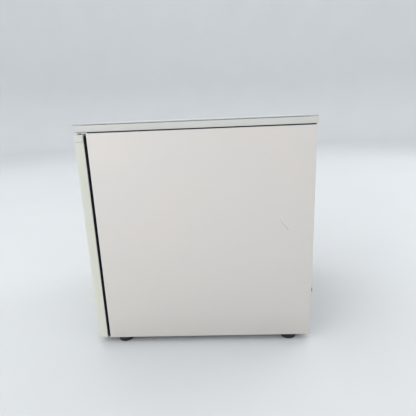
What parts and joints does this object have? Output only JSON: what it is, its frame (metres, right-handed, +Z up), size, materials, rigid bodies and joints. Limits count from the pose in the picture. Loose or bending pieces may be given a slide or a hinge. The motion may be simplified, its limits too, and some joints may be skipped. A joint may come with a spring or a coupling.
{
  "type": "mini fridge",
  "caption": "Small cube refrigerator with a worktop, a hinged door with racks, a freezer box and a rear compressor.",
  "frame": {"origin": "on the floor, under the middle of the overall box", "axes": "+Z up, the door faces -Y, +X is the hinge side"},
  "size_m": [0.445, 0.48, 0.49],
  "materials": {
    "case_enamel": "satin",
    "door_enamel": "satin",
    "worktop_plastic": "satin",
    "worktop_laminate": "satin",
    "liner_plastic": "satin",
    "white_plastic": "satin",
    "clear_plastic": "gloss",
    "foam": "matte",
    "gasket_rubber": "matte",
    "black_rubber": "matte",
    "black_plastic": "satin",
    "black_enamel": "satin",
    "zinc_steel": "satin",
    "foil_board": "satin",
    "aluminium": "satin",
    "copper": "satin",
    "coated_wire": "gloss"
  },
  "bodies": {
    "cabinet": {"outer_case": "case_enamel", "foam_insulation": "foam", "inner_liner": "liner_plastic", "back_panel": "foil_board", "compressor_bay": "zinc_steel", "base_panel": "zinc_steel", "compressor_base": "zinc_steel", "worktop_frame": "worktop_plastic", "worktop_board": "worktop_laminate", "upper_hinge": "zinc_steel", "lower_hinge": "zinc_steel", "upper_hinge_screw_a": "zinc_steel", "upper_hinge_screw_b": "zinc_steel", "lower_hinge_screw_a": "zinc_steel", "lower_hinge_screw_b": "zinc_steel", "evaporator": "aluminium", "freezer_surround": "white_plastic", "thermostat_housing": "white_plastic", "sensor_tube": "copper", "compressor": "black_enamel", "compressor_grommet_front_left": "black_rubber", "compressor_grommet_front_right": "black_rubber", "compressor_grommet_rear_left": "black_rubber", "compressor_grommet_rear_right": "black_rubber", "compressor_nut_front_left": "zinc_steel", "compressor_nut_front_right": "zinc_steel", "compressor_nut_rear_left": "zinc_steel", "compressor_nut_rear_right": "zinc_steel", "relay_cover": "black_plastic", "condenser_tube": "black_enamel", "condenser_wires": "black_enamel", "condenser_bar_lower": "black_enamel", "condenser_bar_upper": "black_enamel", "discharge_tube": "copper", "suction_tube": "copper", "filter_drier": "copper", "capillary_tube": "copper", "cord_gland": "black_rubber", "rear_left_foot": "black_rubber", "rear_right_foot": "black_rubber"},
    "door": {"door_skin": "door_enamel", "door_foam": "foam", "door_liner": "liner_plastic", "door_gasket": "gasket_rubber", "door_top_cap": "white_plastic", "door_bottom_cap": "white_plastic", "upper_hinge_bush": "black_plastic", "lower_hinge_bush": "black_plastic", "door_grip": "white_plastic", "door_rack_upper": "clear_plastic", "door_rack_lower": "clear_plastic"},
    "freezer_flap": {"freezer_flap": "clear_plastic"},
    "drip_tray": {"drip_tray": "clear_plastic"},
    "wire_shelf": {"wire_shelf": "coated_wire"},
    "thermostat_knob": {"thermostat_knob": "white_plastic"},
    "front_left_foot_stud": {"front_left_foot_stud": "zinc_steel"},
    "front_left_foot_pad": {"front_left_foot_pad": "black_rubber"},
    "front_right_foot_stud": {"front_right_foot_stud": "zinc_steel"},
    "front_right_foot_pad": {"front_right_foot_pad": "black_rubber"}
  },
  "joints": [
    {"name": "door_hinge", "type": "hinge", "parent": "cabinet", "child": "door", "pos_m": [0.2145, -0.23, 0], "axis": [0, 0, 1], "range_deg": [0, 130]},
    {"name": "freezer_flap_hinge", "type": "hinge", "parent": "cabinet", "child": "freezer_flap", "pos_m": [0, -0.09, 0.4245], "axis": [-1, 0, 0], "range_deg": [0, 90]},
    {"name": "drip_tray_slide", "type": "slide", "parent": "cabinet", "child": "drip_tray", "axis": [0, -1, 0], "range_m": [0, 0.1]},
    {"name": "wire_shelf_slide", "type": "slide", "parent": "cabinet", "child": "wire_shelf", "axis": [0, -1, 0], "range_m": [0, 0.07]},
    {"name": "thermostat_knob_turn", "type": "hinge", "parent": "cabinet", "child": "thermostat_knob", "pos_m": [0.1525, -0.07, 0.388], "axis": [0, 1, 0], "range_deg": [0, 270]},
    {"name": "front_left_foot_travel", "type": "slide", "parent": "cabinet", "child": "front_left_foot_stud", "axis": [0, 0, -1], "range_m": [0, 0.01]},
    {"name": "front_left_foot_turn", "type": "hinge", "parent": "front_left_foot_stud", "child": "front_left_foot_pad", "pos_m": [-0.202, -0.183, 0], "axis": [0, 0, -1], "range_deg": [0, 2880]},
    {"name": "front_right_foot_travel", "type": "slide", "parent": "cabinet", "child": "front_right_foot_stud", "axis": [0, 0, -1], "range_m": [0, 0.01]},
    {"name": "front_right_foot_turn", "type": "hinge", "parent": "front_right_foot_stud", "child": "front_right_foot_pad", "pos_m": [0.202, -0.183, 0], "axis": [0, 0, -1], "range_deg": [0, 2880]}
  ],
  "couplings": [
    {"joint": "front_left_foot_travel", "follows": "front_left_foot_turn", "m_per_rad": 0.00019894},
    {"joint": "front_right_foot_travel", "follows": "front_right_foot_turn", "m_per_rad": 0.00019894}
  ]
}
